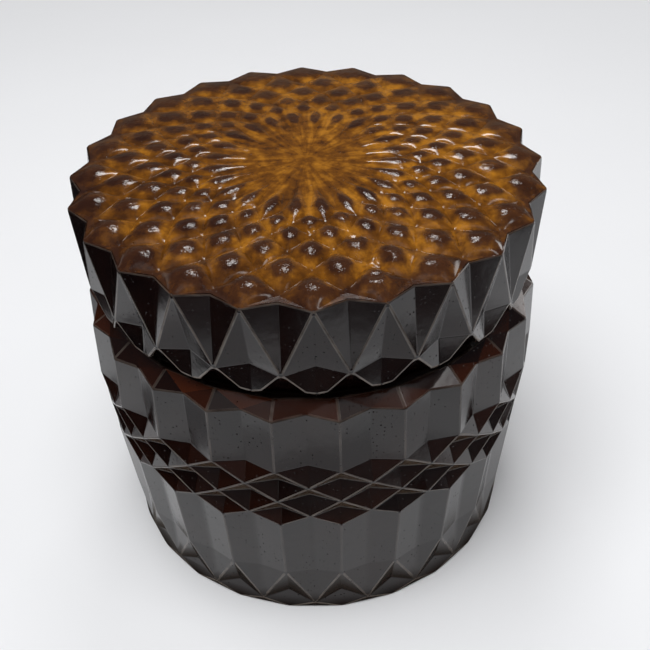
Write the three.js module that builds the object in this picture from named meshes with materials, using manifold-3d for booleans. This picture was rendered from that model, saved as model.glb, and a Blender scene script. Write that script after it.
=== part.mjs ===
// A round storage jar with a lift-off lid, each one casting of dark amber resin, cut like crystal.
// Millimetres, +Z up. The origin is the middle of the foot, on the surface that the jar stands on.
import * as THREE from 'three';
import { mergeVertices } from 'three/addons/utils/BufferGeometryUtils.js';
import Module from 'manifold-3d';

const wasm = await Module();
wasm.setup();

// Columns of facets, the same number round the jar and round the lid
const COLUMNS = 24;
const STEP = (2 * Math.PI) / COLUMNS;

// A ring of corners stands either on the ridges or half a step on, in the creases between them
const ON_RIDGE = 0;
const IN_CREASE = 0.5;

// The jar's flank: a cone from the girdle down to the foot
const GIRDLE_HEIGHT = 45.9;
const GIRDLE_RADIUS = 47.3;
const FLANK_DRAFT = 0.085;

// The net of rhombic ridges below the girdle, and the pyramid sunk in each of its meshes
const NET_ROW = 4.4;
const NET_HEM = 3.4;
const PYRAMID_DEPTH = 2.4;

// The jar's rim, shoulder and upper band
const RIM_HEIGHT = 60.6;
const RIM_RADIUS = 42.95;
const SHOULDER_RIDGE_HEIGHT = 58.3;
const SHOULDER_RIDGE_RADIUS = 46.75;
const SHOULDER_CREASE_HEIGHT = 58.95;
const SHOULDER_CREASE_RADIUS = 45;

// The creases of the lower band, sunk between its ridges
const CREASE_TOP_HEIGHT = 31.6;
const CREASE_TOP_RADIUS = 44.4;
const CREASE_FOOT_HEIGHT = 13;
const CREASE_FOOT_RADIUS = 43.4;

// The jar's foot, with a shallow point sunk in each of its triangles
const FOOT_PEAK_HEIGHT = 12.8;
const FOOT_TIP_HEIGHT = 1.8;
const FOOT_SUNK_HEIGHT = 4.8;
const FOOT_SUNK_RADIUS = 42.5;
const BASE_RADIUS = 43.4;

// The jar's hollow, a plain round well
const MOUTH_RADIUS = 37.5;
const MOUTH_CHAMFER = 0.8;
const WELL_FLOOR_HEIGHT = 8;
const WELL_FLOOR_RADIUS = 36.2;
const WELL_FILLET = 5;
const WELL_FILLET_STEPS = 4;
const ROUND_SEGMENTS = 3 * COLUMNS;

// The lid, whose heights count from the face that rests on the rim
const SEAT_GAP = 0.3;
const LID_TURN = THREE.MathUtils.degToRad(-4.7);
const LID_TOP_HEIGHT = 22.2;
const LID_TIP_RADIUS = 46.65;
const LID_VALLEY_RADIUS = 44.1;
const SKIRT_FLARE_HEIGHT = 7.7;
const SKIRT_FLARE_RADIUS = 46;
const SKIRT_DIMPLE_HEIGHT = 8.4;
const SKIRT_DIMPLE_RADIUS = 43.8;
const SKIRT_POINT_HEIGHT = 2.1;
const SKIRT_POINT_RADIUS = 44.4;
const SKIRT_POINT_SIDE_HEIGHT = 3;
const SKIRT_POINT_SIDE_RADIUS = 45;
const SKIRT_POINT_SPREAD = 0.18;
const SEAT_RADIUS = 41;

// The plug under the lid, which drops into the mouth
const PLUG_RADIUS = 36.7;
const PLUG_DEPTH = 5;
const PLUG_CHAMFER = 0.8;

// The sunburst on the lid's crowned top: rings of domes in a net, and long petals round a plain disc
const LID_CROWN = 1.7;
const DOME_RINGS = 5;
const NET_RADIUS = 42.3;
const NET_RATIO = 1.172;
const PETAL_TIP_RADIUS = 10.8;
const DOME_RISE = 0.15;
const DOME_FULLNESS = 0.75;
const DOME_STEPS = 4;

// One ring of corners, alike in every column
function ring(radius, height, offset) {
  return (column) => {
    const angle = (column + offset) * STEP;
    return new THREE.Vector3(radius * Math.cos(angle), radius * Math.sin(angle), height);
  };
}

// A skin collects flat faces whose corners run anticlockwise as seen from outside
class Skin {
  constructor() {
    this.corners = [];
  }

  face(...points) {
    for (let i = 1; i < points.length - 1; i += 1) {
      for (const point of [points[0], points[i], points[i + 1]]) {
        this.corners.push(point.x, point.y, point.z);
      }
    }
  }

  geometry() {
    const geometry = new THREE.BufferGeometry();
    geometry.setAttribute('position', new THREE.Float32BufferAttribute(this.corners, 3));
    return geometry;
  }
}

function solidFrom(geometry) {
  const bare = geometry.clone();
  bare.deleteAttribute('normal');
  bare.deleteAttribute('uv');
  const merged = mergeVertices(bare, 1e-4);
  return new wasm.Manifold(
    new wasm.Mesh({
      numProp: 3,
      vertProperties: merged.attributes.position.array,
      triVerts: new Uint32Array(merged.index.array),
    }),
  );
}

function geometryFrom(solid) {
  const mesh = solid.getMesh();
  const geometry = new THREE.BufferGeometry();
  geometry.setAttribute('position', new THREE.BufferAttribute(new Float32Array(mesh.vertProperties), 3));
  geometry.setIndex(new THREE.BufferAttribute(new Uint32Array(mesh.triVerts), 1));
  geometry.computeVertexNormals();
  return geometry;
}

// A profile of [radius, height] pairs turned round +Z
function turned(profile) {
  const points = profile.map(([radius, height]) => new THREE.Vector2(radius, height));
  return new THREE.LatheGeometry(points, ROUND_SEGMENTS).rotateX(Math.PI / 2);
}

// Jar body

const flankRadius = (height) => GIRDLE_RADIUS - FLANK_DRAFT * (GIRDLE_HEIGHT - height);
const netHeight = (row) => GIRDLE_HEIGHT - row * NET_ROW;
const flankRing = (height, offset) => ring(flankRadius(height), height, offset);

// One mesh of the net: four raised corners and a point sunk below them at the side corners' height
function sunkPyramid(skin, top, right, bottom, left) {
  const point = left.clone().add(right).multiplyScalar(0.5);
  const radius = Math.hypot(left.x, left.y);
  const inward = (radius - PYRAMID_DEPTH) / Math.hypot(point.x, point.y);
  point.x *= inward;
  point.y *= inward;
  skin.face(left, point, top);
  skin.face(point, right, top);
  skin.face(left, bottom, point);
  skin.face(bottom, right, point);
}

function jarSkin() {
  const skin = new Skin();
  const rim = ring(RIM_RADIUS, RIM_HEIGHT, ON_RIDGE);
  const shoulderRidge = ring(SHOULDER_RIDGE_RADIUS, SHOULDER_RIDGE_HEIGHT, ON_RIDGE);
  const shoulderCrease = ring(SHOULDER_CREASE_RADIUS, SHOULDER_CREASE_HEIGHT, IN_CREASE);
  const girdleRidge = flankRing(netHeight(0), ON_RIDGE);
  const girdleCrease = ring(SHOULDER_CREASE_RADIUS, GIRDLE_HEIGHT, IN_CREASE);
  const net1 = flankRing(netHeight(1), IN_CREASE);
  const net2 = flankRing(netHeight(2), ON_RIDGE);
  const net3 = flankRing(netHeight(3), IN_CREASE);
  const hem = flankRing(netHeight(3) - NET_HEM, ON_RIDGE);
  const footPeak = flankRing(FOOT_PEAK_HEIGHT, ON_RIDGE);
  const creaseTop = ring(CREASE_TOP_RADIUS, CREASE_TOP_HEIGHT, IN_CREASE);
  const creaseFoot = ring(CREASE_FOOT_RADIUS, CREASE_FOOT_HEIGHT, IN_CREASE);
  const footTip = flankRing(FOOT_TIP_HEIGHT, IN_CREASE);
  const footSunk = ring(FOOT_SUNK_RADIUS, FOOT_SUNK_HEIGHT, ON_RIDGE);
  const base = ring(BASE_RADIUS, 0, ON_RIDGE);
  const rimMiddle = new THREE.Vector3(0, 0, RIM_HEIGHT);
  const baseMiddle = new THREE.Vector3(0, 0, 0);

  for (let k = 0; k < COLUMNS; k += 1) {
    skin.face(rimMiddle, rim(k), rim(k + 1));
    // Shoulder chamfer
    skin.face(shoulderCrease(k), rim(k + 1), rim(k));
    skin.face(shoulderRidge(k), shoulderCrease(k), rim(k));
    skin.face(shoulderCrease(k), shoulderRidge(k + 1), rim(k + 1));
    // Upper band of upright ridges and creases
    skin.face(girdleRidge(k), girdleCrease(k), shoulderCrease(k), shoulderRidge(k));
    skin.face(girdleCrease(k), girdleRidge(k + 1), shoulderRidge(k + 1), shoulderCrease(k));
    // Half meshes that slope down to the net
    skin.face(girdleRidge(k), net1(k), girdleCrease(k));
    skin.face(net1(k), girdleRidge(k + 1), girdleCrease(k));
    // The net
    sunkPyramid(skin, girdleRidge(k), net1(k), net2(k), net1(k - 1));
    sunkPyramid(skin, net1(k), net2(k + 1), net3(k), net2(k));
    sunkPyramid(skin, net2(k), net3(k), hem(k), net3(k - 1));
    // Lower band of upright ridges and creases
    skin.face(hem(k), creaseTop(k), net3(k));
    skin.face(creaseTop(k), hem(k + 1), net3(k));
    skin.face(footPeak(k), creaseFoot(k), creaseTop(k), hem(k));
    skin.face(creaseFoot(k), footPeak(k + 1), hem(k + 1), creaseTop(k));
    skin.face(footPeak(k), footTip(k), creaseFoot(k));
    skin.face(footTip(k), footPeak(k + 1), creaseFoot(k));
    // Foot
    skin.face(footTip(k - 1), footSunk(k), footPeak(k));
    skin.face(footSunk(k), footTip(k), footPeak(k));
    skin.face(footTip(k - 1), footTip(k), footSunk(k));
    skin.face(footTip(k - 1), base(k), footTip(k));
    skin.face(base(k), base(k + 1), footTip(k));
    skin.face(baseMiddle, base(k + 1), base(k));
  }
  return skin.geometry();
}

function wellProfile() {
  const profile = [[0, WELL_FLOOR_HEIGHT]];
  for (let i = 0; i <= WELL_FILLET_STEPS; i += 1) {
    const angle = (Math.PI / 2) * (i / WELL_FILLET_STEPS);
    profile.push([
      WELL_FLOOR_RADIUS - WELL_FILLET * (1 - Math.sin(angle)),
      WELL_FLOOR_HEIGHT + WELL_FILLET * (1 - Math.cos(angle)),
    ]);
  }
  profile.push([MOUTH_RADIUS, RIM_HEIGHT - MOUTH_CHAMFER]);
  profile.push([MOUTH_RADIUS + 2 * MOUTH_CHAMFER, RIM_HEIGHT + MOUTH_CHAMFER]);
  profile.push([0, RIM_HEIGHT + MOUTH_CHAMFER]);
  return profile;
}

function jarBodyGeometry() {
  return geometryFrom(solidFrom(jarSkin()).subtract(solidFrom(turned(wellProfile()))));
}

// Lid

const lidTip = ring(LID_TIP_RADIUS, LID_TOP_HEIGHT, ON_RIDGE);
const lidValley = ring(LID_VALLEY_RADIUS, LID_TOP_HEIGHT, IN_CREASE);

// The top swells from the rim to the middle
const crownHeight = (radius) => LID_TOP_HEIGHT + LID_CROWN * (1 - (radius / LID_VALLEY_RADIUS) ** 2);

// The net's corner rings shrink by one ratio inwards. Even rows stand on the ridges, odd rows between them.
function lidNetRing(row) {
  const radius = NET_RADIUS * NET_RATIO ** (row - DOME_RINGS);
  return ring(radius, crownHeight(radius), row % 2 === 0 ? ON_RIDGE : IN_CREASE);
}

const alongCell = (a, b, t) => a.clone().lerp(b, t);

// A dome over one mesh of the net, flat along its four edges
function dome(skin, inner, right, outer, left) {
  const rise = DOME_RISE * right.distanceTo(left);
  const at = (i, j) => {
    const u = i / DOME_STEPS;
    const v = j / DOME_STEPS;
    const point = alongCell(alongCell(inner, right, u), alongCell(left, outer, u), v);
    point.z += rise * (16 * u * (1 - u) * v * (1 - v)) ** DOME_FULLNESS;
    return point;
  };
  for (let i = 0; i < DOME_STEPS; i += 1) {
    for (let j = 0; j < DOME_STEPS; j += 1) {
      skin.face(at(i + 1, j), at(i + 1, j + 1), at(i, j + 1));
      skin.face(at(i + 1, j), at(i, j + 1), at(i, j));
    }
  }
}

// A fan from one corner to a straight edge that is split as finely as the domes beside it
function fanToDomeEdge(skin, corner, start, end) {
  for (let i = 0; i < DOME_STEPS; i += 1) {
    skin.face(
      corner,
      alongCell(start, end, i / DOME_STEPS),
      alongCell(start, end, (i + 1) / DOME_STEPS),
    );
  }
}

function lidTop(skin) {
  const petalTip = ring(PETAL_TIP_RADIUS, crownHeight(PETAL_TIP_RADIUS), IN_CREASE);
  const net = [];
  for (let row = 0; row <= DOME_RINGS; row += 1) {
    net.push(lidNetRing(row));
  }
  net.push(lidTip);
  const middle = new THREE.Vector3(0, 0, crownHeight(0));
  for (let k = 0; k < COLUMNS; k += 1) {
    // The plain disc, with a ray between each two petals
    fanToDomeEdge(skin, middle, net[0](k), petalTip(k));
    fanToDomeEdge(skin, middle, petalTip(k), net[0](k + 1));
    dome(skin, petalTip(k), net[0](k), net[1](k), net[0](k + 1));
    for (let row = 1; row <= DOME_RINGS; row += 1) {
      const onRidge = row % 2 === 1;
      const right = net[row](onRidge ? k - 1 : k);
      const left = net[row](onRidge ? k : k + 1);
      dome(skin, net[row - 1](k), right, net[row + 1](k), left);
    }
    // The border between the last domes and the valleys of the rim
    fanToDomeEdge(skin, lidValley(k), net[DOME_RINGS](k), lidTip(k));
    fanToDomeEdge(skin, lidValley(k), lidTip(k + 1), net[DOME_RINGS](k));
  }
}

function lidSkin() {
  const skin = new Skin();
  const flare = ring(SKIRT_FLARE_RADIUS, SKIRT_FLARE_HEIGHT, IN_CREASE);
  const dimple = ring(SKIRT_DIMPLE_RADIUS, SKIRT_DIMPLE_HEIGHT, ON_RIDGE);
  const point = ring(SKIRT_POINT_RADIUS, SKIRT_POINT_HEIGHT, ON_RIDGE);
  const pointRight = ring(SKIRT_POINT_SIDE_RADIUS, SKIRT_POINT_SIDE_HEIGHT, SKIRT_POINT_SPREAD);
  const pointLeft = ring(SKIRT_POINT_SIDE_RADIUS, SKIRT_POINT_SIDE_HEIGHT, -SKIRT_POINT_SPREAD);
  const seat = ring(SEAT_RADIUS, 0, ON_RIDGE);
  const seatMiddle = new THREE.Vector3(0, 0, 0);

  lidTop(skin);
  for (let k = 0; k < COLUMNS; k += 1) {
    // Tall triangles that meet in a crease under each valley of the rim
    skin.face(flare(k), lidValley(k), lidTip(k));
    skin.face(flare(k), lidTip(k + 1), lidValley(k));
    // Triangles that lean in under each tip
    skin.face(dimple(k), flare(k), lidTip(k));
    skin.face(flare(k), dimple(k + 1), lidTip(k + 1));
    // The zigzag lower edge, blunt at its points
    skin.face(dimple(k), point(k), pointRight(k), flare(k));
    skin.face(dimple(k + 1), flare(k), pointLeft(k + 1), point(k + 1));
    // Under the edge, back to the face that rests on the rim
    skin.face(seat(k), pointRight(k), point(k));
    skin.face(seat(k), flare(k), pointRight(k));
    skin.face(flare(k), seat(k), seat(k + 1));
    skin.face(seat(k + 1), pointLeft(k + 1), flare(k));
    skin.face(seat(k + 1), point(k + 1), pointLeft(k + 1));
    skin.face(seatMiddle, seat(k + 1), seat(k));
  }
  return skin.geometry();
}

function lidGeometry() {
  const plug = [
    [0, -PLUG_DEPTH],
    [PLUG_RADIUS - PLUG_CHAMFER, -PLUG_DEPTH],
    [PLUG_RADIUS, PLUG_CHAMFER - PLUG_DEPTH],
    [PLUG_RADIUS, SKIRT_POINT_HEIGHT],
    [0, SKIRT_POINT_HEIGHT],
  ];
  return geometryFrom(solidFrom(lidSkin()).add(solidFrom(turned(plug))));
}

// The assembly

function resin(color, roughness) {
  return new THREE.MeshStandardMaterial({ color, roughness, metalness: 0, flatShading: true });
}

const jar = new THREE.Group();

const jarBody = new THREE.Mesh(jarBodyGeometry(), resin(0x1d0f0a, 0.15));
jarBody.name = 'jar_body';
jar.add(jarBody);

const lid = new THREE.Mesh(lidGeometry(), resin(0x5a3414, 0.12));
lid.name = 'lid';
lid.position.z = RIM_HEIGHT + SEAT_GAP;
lid.rotation.z = LID_TURN;
jar.add(lid);

export default jar;
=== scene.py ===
"""Looks of a round storage jar with a lift-off lid, each one casting of dark amber epoxy resin.

The jar and the lid are cut like crystal in 24 columns of flat facets, and the lid's top has a sunburst
of domes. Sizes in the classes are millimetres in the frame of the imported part, except the lamps', which
are metres. Meshes are in metres.
"""

import logging
import math
import random
from dataclasses import dataclass, field
from enum import Enum, IntEnum
from functools import partial
from typing import Any, Callable

import bmesh
import bpy
from mathutils import Matrix, Vector, kdtree, noise


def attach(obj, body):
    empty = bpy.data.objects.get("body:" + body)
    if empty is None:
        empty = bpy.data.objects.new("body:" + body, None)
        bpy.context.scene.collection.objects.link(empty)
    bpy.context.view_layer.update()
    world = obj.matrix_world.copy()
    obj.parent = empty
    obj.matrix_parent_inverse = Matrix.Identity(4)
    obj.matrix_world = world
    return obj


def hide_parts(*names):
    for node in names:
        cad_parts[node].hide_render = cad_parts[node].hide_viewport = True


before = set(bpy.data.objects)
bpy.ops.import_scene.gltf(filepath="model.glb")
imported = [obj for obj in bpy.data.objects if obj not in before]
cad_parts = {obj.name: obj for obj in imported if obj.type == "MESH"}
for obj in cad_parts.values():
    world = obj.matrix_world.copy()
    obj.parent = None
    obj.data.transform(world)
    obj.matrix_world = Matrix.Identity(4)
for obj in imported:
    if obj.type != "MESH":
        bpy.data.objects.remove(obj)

MM = 0.001
COLUMNS = 24
STEP = 2 * math.pi / COLUMNS
LOG = logging.getLogger("jar")

Ring = Callable[[int], Vector]
Source = bpy.types.Node | bpy.types.NodeSocket
Adder = Callable[..., bpy.types.Node]


class Stand(Enum):
    """Where the corners of a ring stand: on the ridges, or half a step on in the creases."""

    ON_RIDGE = 0.0
    IN_CREASE = 0.5


class Cut(IntEnum):
    """The kinds of face on the castings; a round one is shaded smooth across its own faces."""

    SHOULDER = 1
    UPPER_BAND = 2
    NET = 3
    LOWER_BAND = 4
    FOOT = 5
    BASE = 6
    RIM = 7
    WELL = 8
    TALL_TRIANGLE = 9
    DIMPLE = 10
    ZIGZAG = 11
    SEAT = 12
    PLUG = 13
    SUNBURST = 14


ROUND_CUTS = {Cut.WELL, Cut.PLUG, Cut.SUNBURST}


def ring(radius: float, height: float, stand: Stand, beside: float = 0.0) -> Ring:
    """Gives the corners of one ring.

    Args:
        radius: Distance of the corners from the axis, in millimetres.
        height: Height of the ring, in millimetres.
        stand: Whether the corners stand on the ridges or in the creases.
        beside: How far the corners stand beside that place, as a share of a column.

    Returns:
        A function from a column's number to its corner.
    """

    def corner(column: int) -> Vector:
        """The ring's corner in one column."""
        angle = (column + stand.value + beside) * STEP
        return Vector((radius * math.cos(angle), radius * math.sin(angle), height))

    return corner


def arc(radius: float, height: float, steps: int) -> list[Vector]:
    """Gives points on a circle within one column, anticlockwise.

    Args:
        radius: The circle's radius, in millimetres.
        height: Its height.
        steps: How many parts the column's share of it has.

    Returns:
        The points.
    """
    angles = [STEP * i / steps for i in range(steps + 1)]
    return [Vector((radius * math.cos(a), radius * math.sin(a), height)) for a in angles]


def smoothstep(low: float, high: float, value: float) -> float:
    """Rises smoothly from 0 at low to 1 at high."""
    t = min(1.0, max(0.0, (value - low) / (high - low)))
    return t * t * (3 - 2 * t)


def srgb(code: str) -> tuple[float, float, float, float]:
    """Turns an sRGB hex colour into linear values.

    Args:
        code: Six hex digits, such as "1c0a07".

    Returns:
        Linear red, green, blue and an alpha of 1.
    """
    channels = []
    for start in (0, 2, 4):
        value = int(code[start:start + 2], 16) / 255
        channels.append(value / 12.92 if value <= 0.04045 else ((value + 0.055) / 1.055) ** 2.4)
    return (channels[0], channels[1], channels[2], 1.0)


def add_node(tree: bpy.types.NodeTree, kind: str, inputs: dict[Any, Any] | None = None,
             **settings: Any) -> bpy.types.Node:
    """Adds one node with its settings and links.

    Args:
        tree: The tree that gets the node.
        kind: The node's type name; ShaderNode in front is left off.
        inputs: Values, sockets or nodes for the node's inputs, by name or number. A node stands for the
            first of its outputs that is in use.
        **settings: Properties of the node.

    Returns:
        The new node.
    """
    whole = kind.startswith(("GeometryNode", "NodeGroup"))
    node = tree.nodes.new(kind if whole else f"ShaderNode{kind}")
    for name, value in settings.items():
        setattr(node, name, value)
    for key, value in (inputs or {}).items():
        if isinstance(value, bpy.types.Node):
            value = next(socket for socket in value.outputs if socket.enabled)
        if isinstance(value, bpy.types.NodeSocket):
            tree.links.new(value, node.inputs[key])
        else:
            node.inputs[key].default_value = value
    return node


@dataclass
class ColumnMesh:
    """Collects the faces of one column of a casting, in millimetres."""

    corners: list[Vector] = field(default_factory=list)
    ambers: list[float] = field(default_factory=list)
    domes: list[float] = field(default_factory=list)
    faces: list[list[int]] = field(default_factory=list)
    cuts: list[int] = field(default_factory=list)
    known: dict[tuple[int, int, int], int] = field(default_factory=dict)
    snaps_per_mm: int = 2000

    def corner(self, point: Vector, amber: float, dome: float = 0.0) -> int:
        """Gives the number of a corner, which is added unless it is there already.

        Args:
            point: The corner's place.
            amber: How clear the resin is there, from 0 to 1.
            dome: How far up a dome the corner is, from 0 to 1.

        Returns:
            The corner's number.
        """
        key = tuple(round(c * self.snaps_per_mm) for c in point)
        if key not in self.known:
            self.known[key] = len(self.corners)
            self.corners.append(point.copy())
            self.ambers.append(amber)
            self.domes.append(dome)
        return self.known[key]

    def face(self, cut: Cut, *points: Vector, amber: float = 0.0) -> None:
        """Adds a flat face whose corners run anticlockwise as seen from outside.

        Args:
            cut: The kind of face.
            *points: The face's corners.
            amber: How clear the resin is at corners that aren't there yet.
        """
        numbers = []
        for point in points:
            number = self.corner(point, amber)
            if number not in numbers:
                numbers.append(number)
        if len(numbers) > 2:
            self.faces.append(numbers)
            self.cuts.append(cut)

    def mesh(self, name: str) -> bpy.types.Mesh:
        """Makes the Blender mesh, in metres, with the kind of each face and two values at each corner.

        Args:
            name: The mesh's name.

        Returns:
            The mesh of the one column.
        """
        mesh = bpy.data.meshes.new(name)
        mesh.from_pydata([corner * MM for corner in self.corners], [], self.faces)
        cut = mesh.attributes.new("cut", "INT", "FACE")
        cut.data.foreach_set("value", self.cuts)
        for attribute, values in (("amber", self.ambers), ("dome", self.domes)):
            mesh.attributes.new(attribute, "FLOAT", "POINT").data.foreach_set("value", values)
        return mesh


def column_repeater() -> bpy.types.NodeTree:
    """Builds the tree that sets copies of one column round the axis and joins them to one skin.

    Returns:
        A tree with the inputs Columns, Join Distance and Resin.
    """
    tree = bpy.data.node_groups.new("columns_round_the_axis", "GeometryNodeTree")
    add = partial(add_node, tree)
    for name, kind in (("Geometry", "Geometry"), ("Columns", "Int"), ("Join Distance", "Float"),
                       ("Resin", "Material")):
        tree.interface.new_socket(name, in_out="INPUT", socket_type=f"NodeSocket{kind}")
    tree.interface.new_socket("Geometry", in_out="OUTPUT", socket_type="NodeSocketGeometry")
    given = add("NodeGroupInput").outputs
    turn = add("Math", {0: 2 * math.pi, 1: given["Columns"]}, operation="DIVIDE")
    angle = add("Math", {0: add("GeometryNodeInputIndex"), 1: turn}, operation="MULTIPLY")
    places = add("GeometryNodeMeshLine", {"Count": given["Columns"], "Offset": (0, 0, 0)})
    copies = add("GeometryNodeInstanceOnPoints", {
        "Points": places, "Instance": given["Geometry"], "Rotation": add("CombineXYZ", {"Z": angle})})
    real = add("GeometryNodeRealizeInstances", {"Geometry": copies})
    joined = add("GeometryNodeMergeByDistance", {"Geometry": real, "Distance": given["Join Distance"]})
    dressed = add("GeometryNodeSetMaterial", {"Geometry": joined, "Material": given["Resin"]})
    add("NodeGroupOutput", {"Geometry": dressed})
    return tree


def plain_mesh(obj: bpy.types.Object) -> None:
    """Turns an object's modifiers into its mesh and removes them.

    Args:
        obj: The object with modifiers.
    """
    bpy.context.view_layer.update()
    evaluated = obj.evaluated_get(bpy.context.evaluated_depsgraph_get())
    mesh = bpy.data.meshes.new_from_object(evaluated)
    obj.modifiers.clear()
    old = obj.data
    obj.data = mesh
    mesh.name = obj.name
    bpy.data.meshes.remove(old)


@dataclass
class Casting:
    """One resin casting, whose columns of facets repeat round the axis."""

    name: str
    body: str
    node: str
    slot: str
    resin: "CastEpoxy"
    ridge_softness: float = 0.3
    crease_softness: float = 0.18
    softening_steps: int = 2
    seed: int = 5
    unevenness: float = 0.3
    even_within: float = 42.6
    even_below: float = 0.5
    slant_scale: float = 0.31
    # Painted reflection of the bright ground, added on the net's overhanging faces.
    painted_reflection_on_overhangs: float = 0.7
    sharp_valley: float = 8.0
    join_distance: float = 0.01
    ridge_samples: int = 12
    painted_light_contrast: float = 1.6
    overhangs_below: float = -0.2
    softened_from: float = 3.0
    round_cut_softened_from: float = 25.0
    # Painted glow: how much each kind of facet can get; each facet draws its share at random.
    painted_light_by_cut: dict[int, float] = field(default_factory=lambda: {
        Cut.SHOULDER: 1.0, Cut.NET: 0.3, Cut.UPPER_BAND: 0.15, Cut.LOWER_BAND: 0.12})
    # How much lighter the rounded ridges beside each kind of facet are made.
    ridge_lightness_by_cut: dict[int, float] = field(default_factory=lambda: {
        Cut.SHOULDER: 0.4, Cut.UPPER_BAND: 0.25, Cut.NET: 0.5, Cut.LOWER_BAND: 0.25,
        Cut.FOOT: 1.0, Cut.TALL_TRIANGLE: 0.45, Cut.DIMPLE: 0.6, Cut.ZIGZAG: 1.0,
        Cut.SEAT: 1.0, Cut.SUNBURST: 0.2})

    def column(self) -> ColumnMesh:
        """Makes the faces of one column; each casting has its own."""
        raise NotImplementedError

    def placed(self) -> Matrix:
        """Where the casting stands in the part's frame."""
        return Matrix.Identity(4)

    def repeated(self, repeater: bpy.types.NodeTree) -> bpy.types.Object:
        """Repeats the column round the axis and makes the result a plain mesh.

        Args:
            repeater: The tree that column_repeater makes.

        Returns:
            The casting with sharp edges.
        """
        obj = bpy.data.objects.new(self.name, self.column().mesh(self.name))
        bpy.context.scene.collection.objects.link(obj)
        modifier = obj.modifiers.new("columns", "NODES")
        modifier.node_group = repeater
        values = {"Columns": COLUMNS, "Join Distance": self.join_distance * MM,
                  "Resin": self.resin.material()}
        for item in repeater.interface.items_tree:
            if item.in_out == "INPUT" and item.name in values:
                modifier[item.identifier] = values[item.name]
        plain_mesh(obj)
        obj.data.materials.clear()
        for _ in range(2):  # The second slot marks the rounded edges until note_lighter_ridges has read it.
            obj.data.materials.append(values["Resin"])
        obj.data.polygons.foreach_set("material_index", [0] * len(obj.data.polygons))
        self.make_uneven(obj.data)
        return obj

    def make_uneven(self, mesh: bpy.types.Mesh) -> None:
        """Gives each facet its own small slant, as no casting is quite true, and its own share of painted
        light.

        Args:
            mesh: The casting with sharp edges, in metres.
        """
        for vertex in mesh.vertices:
            place = vertex.co / MM
            radius = math.hypot(place.x, place.y)
            if radius > self.even_within and place.z > self.even_below:
                drift = 0.5 + 0.5 * noise.noise(place * self.slant_scale + Vector((self.seed, 0, 0)))
                inward = self.unevenness * min(1.0, max(0.0, drift)) / radius
                vertex.co.x -= place.x * inward * MM
                vertex.co.y -= place.y * inward * MM
        # Painted light per face: glow drawn at random, and a painted ground reflection on the net's
        # overhangs.
        pick = random.Random(self.seed)
        painted_light = mesh.attributes.new("painted_light", "FLOAT", "FACE")
        cut = mesh.attributes["cut"].data
        for polygon in mesh.polygons:
            kind = cut[polygon.index].value
            strength = self.painted_light_by_cut.get(kind, 0.0) * pick.random() ** self.painted_light_contrast
            overhanging = kind == Cut.NET and polygon.normal.z < self.overhangs_below
            painted_light.data[polygon.index].value = self.painted_reflection_on_overhangs + strength if overhanging else strength

    def softness(self, first: int, second: int, angle: float, hollow: bool) -> float:
        """How widely an edge between two faces is rounded.

        Args:
            first: The kind of one face.
            second: The kind of the other face.
            angle: The angle between the faces' normals, in radians.
            hollow: Whether the edge is a crease, not a ridge.

        Returns:
            The width in millimetres, or 0 for an edge that stays as it is.
        """
        within_round = first == second and first in ROUND_CUTS
        least = self.round_cut_softened_from if within_round else self.softened_from
        if angle < math.radians(least) or first == second == Cut.SUNBURST:
            return 0.0
        return self.crease_softness if hollow else self.ridge_softness

    def soften(self, obj: bpy.types.Object) -> None:
        """Rounds the edges between the facets as a silicone mould does.

        Args:
            obj: The casting with sharp edges.
        """
        mesh = bmesh.new()
        mesh.from_mesh(obj.data)
        cut = mesh.faces.layers.int["cut"]
        weight = mesh.edges.layers.float.new("bevel_weight_edge")
        widest = 0.0
        lighter_ridges: list[tuple[Vector, float]] = []
        for edge in mesh.edges:
            if len(edge.link_faces) == 2:
                a, b = edge.link_faces
                width = self.softness(a[cut], b[cut], edge.calc_face_angle(0), not edge.is_convex)
                edge[weight] = width
                widest = max(widest, width)
                if width > 0:
                    ridge_lightness = sum(self.ridge_lightness_by_cut.get(face[cut], 0.0) for face in (a, b)) / 2
                    start, end = (vertex.co.copy() for vertex in edge.verts)
                    lighter_ridges += [(start.lerp(end, i / self.ridge_samples), ridge_lightness if edge.is_convex else 0.0)
                             for i in range(1, self.ridge_samples)]
        for edge in mesh.edges:
            edge[weight] = edge[weight] / widest
        dome = mesh.verts.layers.float["dome"]
        for edge in mesh.edges:
            cuts = [face[cut] for face in edge.link_faces]
            if cuts == [Cut.SUNBURST] * 2 and max(v[dome] for v in edge.verts) < 0.001:
                edge.smooth = edge.calc_face_angle(0) < math.radians(self.sharp_valley)
        for face in mesh.faces:
            face.smooth = True
        mesh.to_mesh(obj.data)
        mesh.free()
        bevel = obj.modifiers.new("soft_edges", "BEVEL")
        bevel.limit_method = "WEIGHT"
        bevel.offset_type = "OFFSET"
        bevel.width = widest * MM
        bevel.segments = self.softening_steps
        bevel.use_clamp_overlap = False
        bevel.harden_normals = True
        bevel.material = 1
        plain_mesh(obj)
        self.note_lighter_ridges(obj.data, lighter_ridges)

    def note_lighter_ridges(self, mesh: bpy.types.Mesh, lighter_ridges: list[tuple[Vector, float]]) -> None:
        """Notes on the rounded ridges how much lighter each is made, and gives them the one resin again.

        Args:
            mesh: The casting, whose rounded edges have the second material.
            lighter_ridges: Points on the edges before they were rounded, and how much lighter each is made.
        """
        places = kdtree.KDTree(len(lighter_ridges))
        for number, (place, _) in enumerate(lighter_ridges):
            places.insert(place, number)
        places.balance()
        ridge_lightness = mesh.attributes.new("ridge_lightness", "FLOAT", "FACE")
        for polygon in mesh.polygons:
            if polygon.material_index == 1:
                ridge_lightness.data[polygon.index].value = lighter_ridges[places.find(polygon.center)[1]][1]
                polygon.material_index = 0
        mesh.materials.pop(index=1)

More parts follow.
